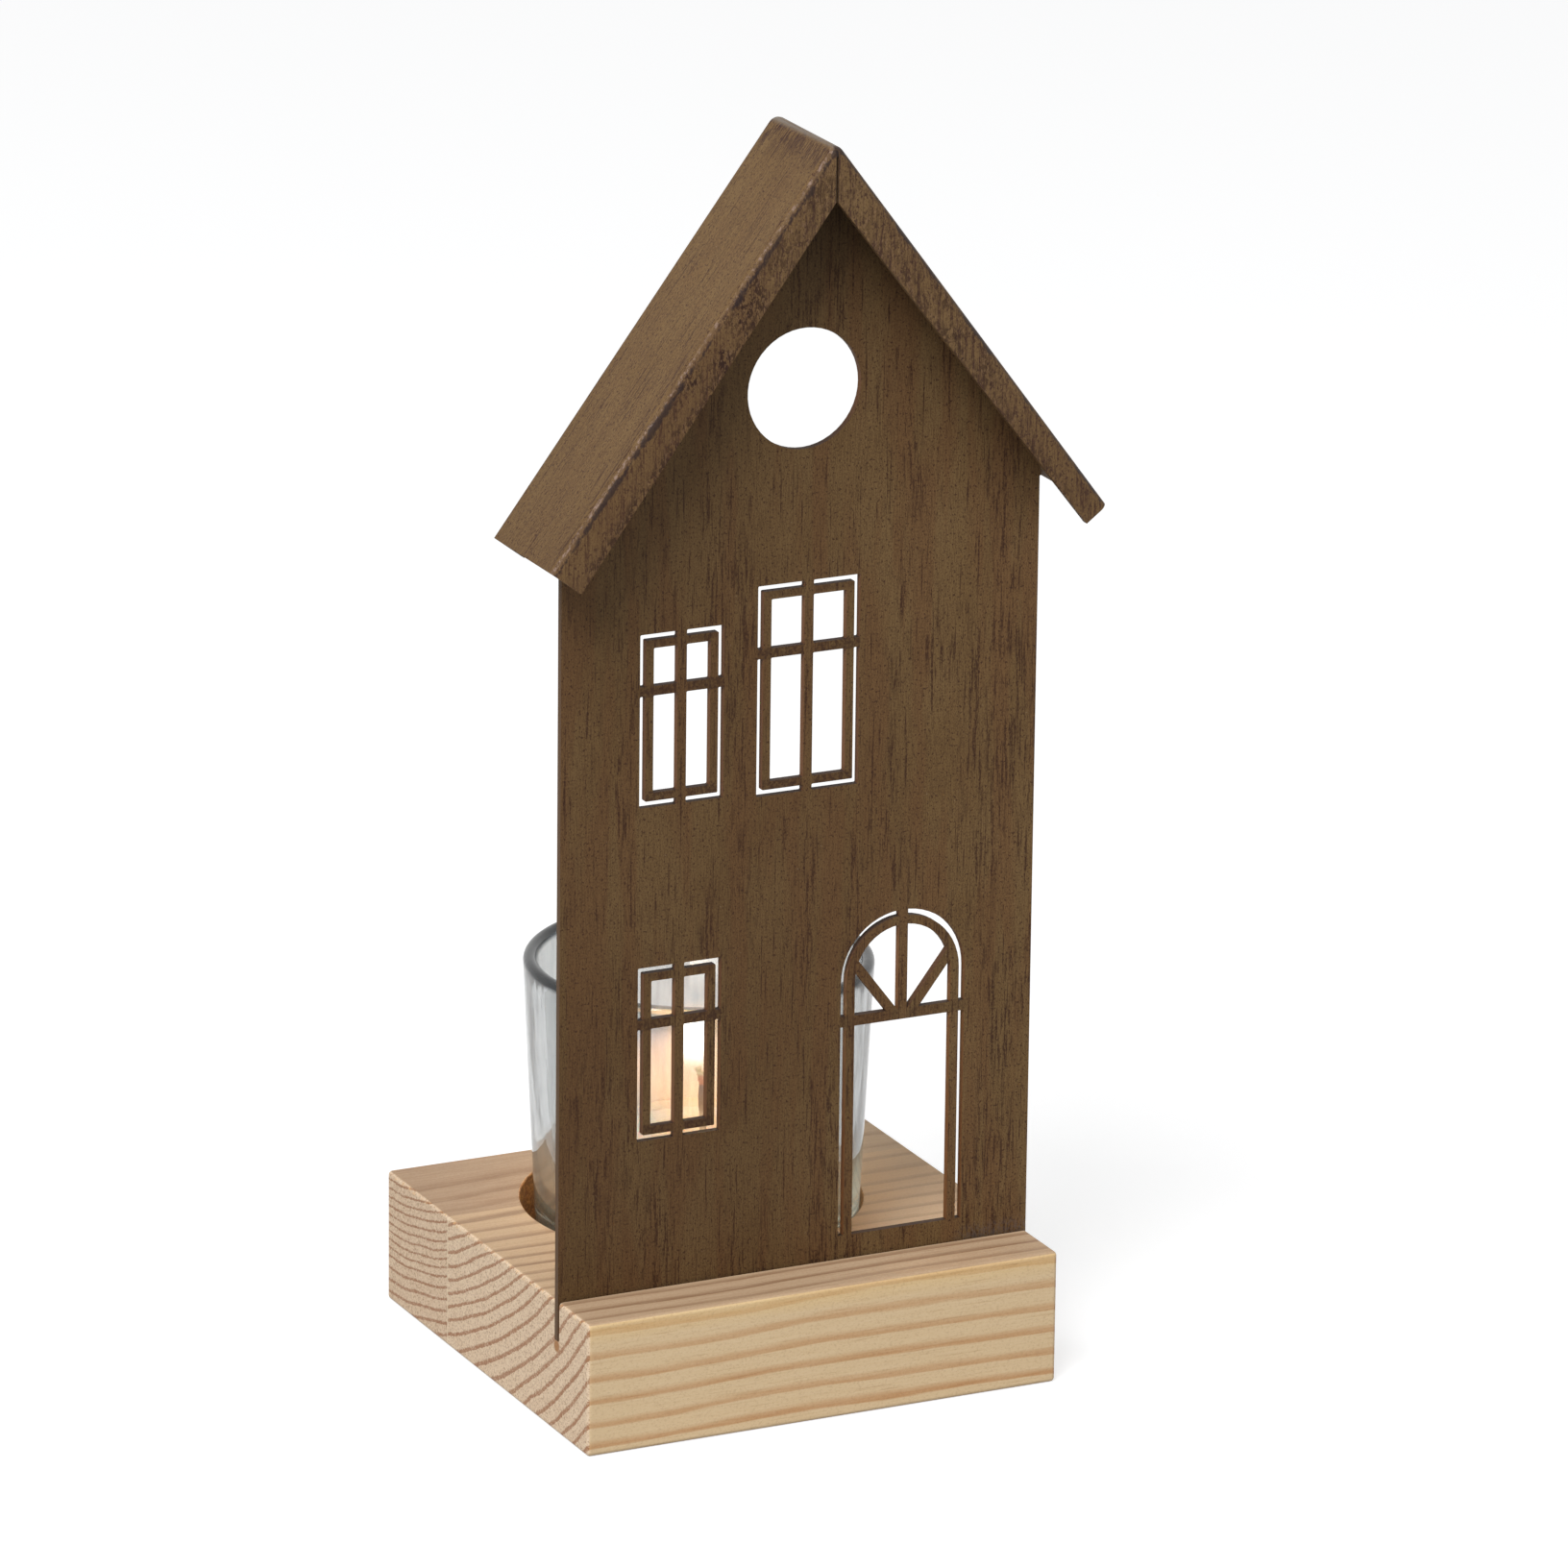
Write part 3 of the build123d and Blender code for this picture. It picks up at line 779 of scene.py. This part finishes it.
def candle_wax():
    """White paraffin, lit through near the flame, with a glossy molten pool round the wick."""
    material, tree, shader = new_material("candle_wax")
    here = place_in_mm(tree)
    away = distance(tree, here, (CANDLE_MIDDLE.x, CANDLE_MIDDLE.y, WAX_HIGH.z))
    cloud = grain(tree, here, (0.3, 0.3, 0.3), 3.0, 0.6)
    pool = fade(tree, calc(tree, "ADD", away, times(tree, cloud, 3.0)), 17.0, 13.5)
    white = mix(tree, cloud, srgb(240, 235, 222), srgb(248, 244, 234))
    feed(tree, shader.inputs["Base Color"], mix(tree, pool, white, srgb(236, 222, 196)))
    feed(tree, shader.inputs["Roughness"], ranged(tree, pool, 0.5, 0.08))
    shader.inputs["Subsurface Weight"].default_value = 0.6
    shader.inputs["Subsurface Radius"].default_value = (1.0, 0.6, 0.35)
    shader.inputs["Subsurface Scale"].default_value = 4 * MM
    # Painted glow: emission near the wick stands in for the flame's light shining through the wax
    feed(tree, shader.inputs["Emission Color"],
         mix(tree, fade(tree, away, 16.0, 2.0), srgb(0, 0, 0), srgb(255, 176, 96)))
    shader.inputs["Emission Strength"].default_value = 0.5
    feed(tree, shader.inputs["Normal"], bump(tree, cloud, 0.15 * MM, 0.2))
    return material


def burnt_wick():
    """Braided cotton: waxed and pale at the bottom, charred above, glowing at the tip."""
    material, tree, shader = new_material("burnt_wick")
    here = place_in_mm(tree)
    _, _, z = split(tree, here)
    braid = grain(tree, here, (1.6, 1.6, 1.1), 3.0, 0.7)
    height = calc(tree, "ADD", z, times(tree, braid, 1.5))
    charred = fade_below(tree, height, WICK_HIGH.z, *CHARRED_DEPTH)
    colour = mix(tree, charred, srgb(226, 208, 178), srgb(34, 18, 16))
    feed(tree, shader.inputs["Base Color"], mix(tree, times(tree, braid, 0.4), colour, srgb(20, 14, 14)))
    shader.inputs["Roughness"].default_value = 0.9
    ember = mix(tree, fade_below(tree, height, WICK_HIGH.z, *EMBER_DEPTH), srgb(0, 0, 0),
                srgb(236, 122, 10))
    in_flame = fade_below(tree, height, WICK_HIGH.z, *IN_FLAME_DEPTH)
    feed(tree, shader.inputs["Emission Color"], mix(tree, in_flame, ember, srgb(255, 222, 130)))
    shader.inputs["Emission Strength"].default_value = 0.8
    feed(tree, shader.inputs["Normal"], bump(tree, braid, 0.3 * MM, 0.8))
    return material


def tab_steel():
    """Thin tinned steel with fine scratches."""
    material, tree, shader = new_material("tab_steel")
    here = place_in_mm(tree)
    scratches = grain(tree, here, (4.0, 0.4, 0.4), 2.0, 0.6)
    feed(tree, shader.inputs["Base Color"], mix(tree, scratches, srgb(166, 166, 170), srgb(204, 204, 206)))
    shader.inputs["Metallic"].default_value = 1.0
    feed(tree, shader.inputs["Roughness"], ranged(tree, scratches, 0.3, 0.5))
    return material


def flame_light(name, heart, edge, strength, cover, in_front, outline, foot, top):
    """Glowing gas that fades out at its outline, foot and top. Cover is how much of what lies behind it
    a far face hides; a near face hides the in_front part of that, so that the wick still shows."""
    material, tree, shader = new_material(name)
    here = place_in_mm(tree)
    _, _, z = split(tree, here)
    square_on = calc(tree, "SUBTRACT", 1.0, put(tree, "LayerWeight", {"Blend": 0.5}, out=1))
    feed(tree, shader.inputs["Emission Color"], mix(tree, fade(tree, square_on, 0.0, 0.55), edge, heart))
    shader.inputs["Emission Strength"].default_value = strength
    shader.inputs["Base Color"].default_value = srgb(0, 0, 0)
    shader.inputs["Specular IOR Level"].default_value = 0.0
    far_face = put(tree, "NewGeometry", out=6)
    soft = fade(tree, square_on, *outline)
    rise = fade(tree, z, *foot)
    body = times(tree, soft, soft, cover, ranged(tree, far_face, in_front, 1.0))
    feed(tree, shader.inputs["Alpha"], times(tree, body, rise, rise, fade(tree, z, *top)))
    return material


# Meshes


def new_piece(name, points, faces, material, smooth=True):
    """A mesh object from points in millimetres in the row frame."""
    mesh = bpy.data.meshes.new(name)
    mesh.from_pydata([tuple(c * MM for c in p) for p in points], [], faces)
    mesh.validate()
    mesh.update()
    if smooth:
        mesh.polygons.foreach_set("use_smooth", [True] * len(mesh.polygons))
    mesh.materials.append(material)
    piece = bpy.data.objects.new(name, mesh)
    bpy.context.scene.collection.objects.link(piece)
    return piece


def arc(middle, radius, start, end, steps):
    """Points on an arc in the (radius, height) plane; angles in degrees."""
    angles = [math.radians(start + (end - start) * i / steps) for i in range(steps + 1)]
    return [(middle[0] + radius * math.cos(a), middle[1] + radius * math.sin(a)) for a in angles]


def turned(name, outline, middle, turns, material):
    """A turned body: an outline of (radius, height), with both ends on its upright axis."""
    (_, first_height), *rings, (_, last_height) = outline
    points = [(middle.x, middle.y, first_height)]
    for radius, height in rings:
        for step in range(turns):
            angle = 2 * math.pi * step / turns
            points.append((middle.x + radius * math.cos(angle), middle.y + radius * math.sin(angle),
                           height))
    points.append((middle.x, middle.y, last_height))
    faces = []
    last_ring = 1 + (len(rings) - 1) * turns
    for step in range(turns):
        after = (step + 1) % turns
        faces.append((0, 1 + after, 1 + step))
        for ring in range(1, last_ring, turns):
            next_ring = ring + turns
            faces.append((ring + step, ring + after, next_ring + after, next_ring + step))
        faces.append((last_ring + step, last_ring + after, len(points) - 1))
    return new_piece(name, points, faces, material)


def runs(points, length):
    """The outline with its long straight runs divided into steps of about the given length."""
    made = [points[0]]
    for start, end in zip(points, points[1:]):
        steps = max(1, round(math.dist(start, end) / length))
        made += [(start[0] + (end[0] - start[0]) * i / steps, start[1] + (end[1] - start[1]) * i / steps)
                 for i in range(1, steps + 1)]
    return made


def glass_cup():
    """The cup: thick foot with a shallow punt, tapering wall, fire-rounded rim."""
    bottom, top = GLASS_LOW.z, GLASS_HIGH.z
    rim_outer = (GLASS_HIGH.x - GLASS_LOW.x) / 2
    rim_round = GLASS_WALL / 2
    foot = GLASS_FOOT_RADIUS
    inner_floor = bottom + GLASS_FLOOR
    inside = foot - GLASS_FOOT_WALL
    foot_round, floor_round = GLASS_FOOT_ROUND, GLASS_FLOOR_ROUND
    outline = [(0.0, bottom + PUNT_DEPTH), (PUNT_RADIUS, bottom + PUNT_DEPTH)]
    outline.append((PUNT_RADIUS + PUNT_CHAMFER, bottom))
    outline += arc((foot - foot_round, bottom + foot_round), foot_round, -90, 0, 8)
    outline += arc((rim_outer - rim_round, top - rim_round), rim_round, 0, 180, 12)
    outline += arc((inside - floor_round, inner_floor + floor_round), floor_round, 0, -90, 8)
    outline.append((0.0, inner_floor))
    return turned("glass_cup_body", runs(outline, GLASS_RUN), GLASS_MIDDLE, GLASS_TURNS, cup_glass())


def flame_shell(name, shell, material):
    """One shell of light: a teardrop over the wick, round below and drawn to a point above."""
    width, height, above_tip, widest = shell
    bottom = WICK_TIP.z + above_tip
    outline = [(0.0, bottom)]
    for i in range(1, FLAME_STEPS):
        t = i / FLAME_STEPS
        swell = math.sin(math.pi * t ** widest) ** FLAME_BLUNTNESS * (1.0 - FLAME_TAPER * t)
        outline.append((width / 2 * swell, bottom + height * t))
    outline.append((0.0, bottom + height))
    made = turned(name, outline, WICK_TIP + Vector((FLAME_LEAN, 0.0, 0.0)), FLAME_TURNS, material)
    made.visible_diffuse = False
    made.visible_shadow = False
    return made


def flame():
    """The flame's white body, the glow round it and the faint halo down to the wax."""
    tip = WICK_TIP.z
    body = flame_light(
        "flame_body", srgb(255, 250, 238), srgb(255, 200, 100), strength=6.0, cover=1.0, in_front=1.0,
        outline=(0.0, 0.55), foot=(tip - 1.5, tip + 8.0), top=(tip + 12.8, tip + 10.0))
    glow = flame_light(
        "flame_glow", srgb(255, 204, 132), srgb(255, 176, 96), strength=2.8, cover=0.36, in_front=0.1,
        outline=(0.0, 0.9), foot=(tip - 4.5, tip + 2.5), top=(tip + 14.5, tip + 7.0))
    halo = flame_light(
        "flame_halo", srgb(255, 190, 128), srgb(255, 150, 84), strength=5.0, cover=0.36, in_front=0.1,
        outline=(0.2, 0.95), foot=(tip - 15.4, tip - 13.0), top=(tip + 8.5, tip - 6.0))
    return (flame_shell("flame", FLAME_SHELL, body), flame_shell("flame_glow", GLOW_SHELL, glow),
            flame_shell("flame_halo", HALO_SHELL, halo))


# Dressing the CAD nodes


def dress(node, material):
    """Gives a CAD node one material in every slot."""
    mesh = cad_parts[node].data
    if not mesh.materials:
        mesh.materials.append(material)
    for i in range(len(mesh.materials)):
        mesh.materials[i] = material


# Top of each board: in front of the wall, behind it, and at the right end there. The lighter tones behind
# the wall are painted light where the wall shades the top; the back board's darker top is painted shade
FRONT_TOP_TONES = (srgb(180, 151, 121), srgb(192, 163, 131), srgb(204, 175, 143))
BACK_TOP_TONES = (srgb(167, 139, 113), srgb(167, 139, 113), srgb(192, 166, 138))

dress("house_front", plate_paint())
dress("roof", roof_paint())
dress("base_front_board", pine("front_board_pine", FRONT_RINGS, 0.0, FRONT_TOP_TONES))
dress("base_back_board", pine("back_board_pine", BACK_RINGS, BACK_BOARD_SHIFT, BACK_TOP_TONES))
dress("tealight_cup", drawn_foil())
dress("tealight_wax", candle_wax())
dress("wick", burnt_wick())
dress("wick_tab", tab_steel())

cup = glass_cup()
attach(cup, "cup")
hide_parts("glass_cup")
for piece in flame():
    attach(piece, "candle")


# Floor, background and lights

WHITE = (1.0, 1.0, 1.0, 1.0)
FLOOR_HALF = 6000.0
FLOOR_LEVEL = -0.05
FLOOR_CORNERS = ((-1, -1), (1, -1), (1, 1), (-1, 1))
LAMP_AIM = (0.0, 0.0, 120.0)


def seen_directly(tree):
    """1 for what the camera, metal and glass see, 0 for the light that falls on the object."""
    path = put(tree, "LightPath").node
    return calc(tree, "MAXIMUM", path.outputs["Is Camera Ray"],
                calc(tree, "MAXIMUM", path.outputs["Is Glossy Ray"], path.outputs["Is Transmission Ray"]))


def floor_material():
    """Pale floor: it takes the object's shadow, and shows white to the camera, to metal and to glass."""
    material, tree, shader = new_material("floor_white")
    shader.inputs["Base Color"].default_value = (0.45, 0.45, 0.45, 1.0)
    shader.inputs["Roughness"].default_value = 1.0
    shader.inputs["Specular IOR Level"].default_value = 0.0
    glow = mix(tree, seen_directly(tree), srgb(0, 0, 0), WHITE)
    feed(tree, shader.inputs["Emission Color"], glow)
    shader.inputs["Emission Strength"].default_value = 0.7
    return material


floor = new_piece(
    "floor", [(x * FLOOR_HALF, y * FLOOR_HALF, FLOOR_LEVEL) for x, y in FLOOR_CORNERS],
    [(0, 1, 2, 3)], floor_material(), smooth=False)


def soft_world(strength):
    """White to the camera, to metal and to glass; a soft even light for everything else."""
    world = bpy.data.worlds.new("studio")
    bpy.context.scene.world = world
    world.use_nodes = True
    tree = world.node_tree
    tree.nodes.clear()
    white = put(tree, "Background", {"Color": WHITE, "Strength": 1.0})
    soft = put(tree, "Background", {"Color": srgb(250, 252, 255), "Strength": strength})
    both = put(tree, "MixShader", {0: seen_directly(tree), 1: soft, 2: white})
    output = tree.nodes.new("ShaderNodeOutputWorld")
    feed(tree, output.inputs["Surface"], both)


def soft_box(name, place, size, power):
    """A square lamp that looks at the middle of the house."""
    data = bpy.data.lights.new(name, "AREA")
    data.shape = "SQUARE"
    data.size = size * MM
    data.energy = power
    lamp = bpy.data.objects.new(name, data)
    bpy.context.scene.collection.objects.link(lamp)
    lamp.location = Vector(place) * MM
    ahead = Vector(LAMP_AIM) * MM - lamp.location
    lamp.rotation_euler = ahead.to_track_quat("-Z", "Y").to_euler()


def flame_lamp():
    """The warm light that the flame gives, from half way up it."""
    data = bpy.data.lights.new("candle_lamp", "POINT")
    data.energy = 0.02
    data.color = (1.0, 0.66, 0.36)
    data.shadow_soft_size = 2.5 * MM
    lamp = bpy.data.objects.new("candle_lamp", data)
    lamp.location = (WICK_TIP + Vector((0.0, 0.0, FLAME_SHELL[1] * 0.5))) * MM
    bpy.context.scene.collection.objects.link(lamp)
    return lamp


soft_world(strength=0.3)
soft_box("key_lamp", place=(-1100.0, -1000.0, 1800.0), size=1100.0, power=50.0)
soft_box("fill_lamp", place=(1300.0, -1500.0, 900.0), size=1100.0, power=5.0)
candle_lamp = flame_lamp()
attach(candle_lamp, "candle")


# Camera


def photo_camera():
    """Stands where the photograph was taken from."""
    eye, aim = Vector(EYE) * MM, Vector(AIM) * MM
    ahead = (aim - eye).normalized()
    right = ahead.cross(Vector((0.0, 0.0, 1.0))).normalized()
    up = right.cross(ahead)
    turned_right = math.cos(ROLL) * right + math.sin(ROLL) * up
    turned_up = math.cos(ROLL) * up - math.sin(ROLL) * right
    data = bpy.data.cameras.new("photo_camera")
    data.sensor_fit = "HORIZONTAL"
    data.sensor_width = SENSOR
    data.lens = LENS
    data.clip_end = 100.0
    camera = bpy.data.objects.new("photo_camera", data)
    axes = Matrix((turned_right, turned_up, -ahead)).transposed().to_4x4()
    camera.matrix_world = Matrix.Translation(eye) @ axes
    bpy.context.scene.collection.objects.link(camera)
    bpy.context.scene.camera = camera


photo_camera()
bpy.context.scene.view_settings.view_transform = "Standard"
